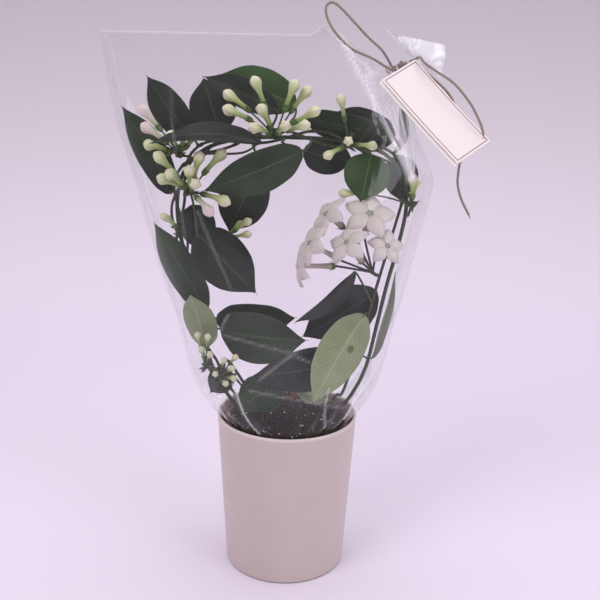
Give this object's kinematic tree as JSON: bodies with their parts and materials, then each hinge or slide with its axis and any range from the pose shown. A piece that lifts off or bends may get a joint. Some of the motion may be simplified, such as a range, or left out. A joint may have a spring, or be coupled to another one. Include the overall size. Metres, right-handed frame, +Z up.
{
  "type": "potted stephanotis",
  "caption": "Potted stephanotis trained round a wire hoop, in a taupe pot, wrapped in a clear film sleeve tied with jute twine and a folded card tag.",
  "frame": {"origin": "middle of the pot's foot, on the surface that it stands on", "axes": "+Z up, -Y to the front of the plant, +X to the right seen from the front"},
  "size_m": [0.3306, 0.1476, 0.5341],
  "materials": {
    "pot_glaze": "satin",
    "grow_pot_plastic": "matte",
    "peat": "rough",
    "hoop_wire": "satin",
    "stem": "matte",
    "leaf": "glossy",
    "bud": "satin",
    "petal": "satin",
    "clear_film": "clear",
    "jute": "rough",
    "tag_card": "matte",
    "thread": "matte"
  },
  "bodies": {
    "root": {"pot": "pot_glaze", "grow_pot": "grow_pot_plastic", "soil": "peat", "hoop": "hoop_wire", "vine_left": "stem", "vine_middle": "stem", "vine_right": "stem", "low_stem": "stem", "film_sleeve": "clear_film", "twine_knot": "jute", "twine_loop": "jute", "twine_tail_1": "jute", "twine_tail_2": "jute", "tag": "tag_card", "tag_thread": "thread", "flower_stalk": "bud", "spray_left_upper": "bud", "spray_left_main": "bud", "spray_top": "bud", "spray_top_right": "bud", "spray_right": "bud", "spray_left_low": "bud", "spray_inner_left": "bud", "spray_low_left_1": "bud", "spray_low_left_2": "bud", "flower_1": "petal", "flower_2": "petal", "flower_3": "petal", "flower_4": "petal", "flower_5": "petal", "flower_6": "petal", "leaf_01": "leaf", "leaf_02": "leaf", "leaf_03": "leaf", "leaf_04": "leaf", "leaf_05": "leaf", "leaf_06": "leaf", "leaf_07": "leaf", "leaf_08": "leaf", "leaf_09": "leaf", "leaf_10": "leaf", "leaf_11": "leaf", "leaf_12": "leaf", "leaf_13": "leaf", "leaf_14": "leaf", "leaf_15": "leaf", "leaf_16": "leaf", "leaf_17": "leaf", "leaf_18": "leaf", "leaf_19": "leaf", "leaf_20": "leaf", "leaf_21": "leaf", "leaf_22": "leaf", "leaf_23": "leaf", "leaf_24": "leaf", "leaf_25": "leaf", "leaf_26": "leaf", "leaf_27": "leaf", "leaf_28": "leaf", "leaf_29": "leaf"}
  },
  "joints": []
}
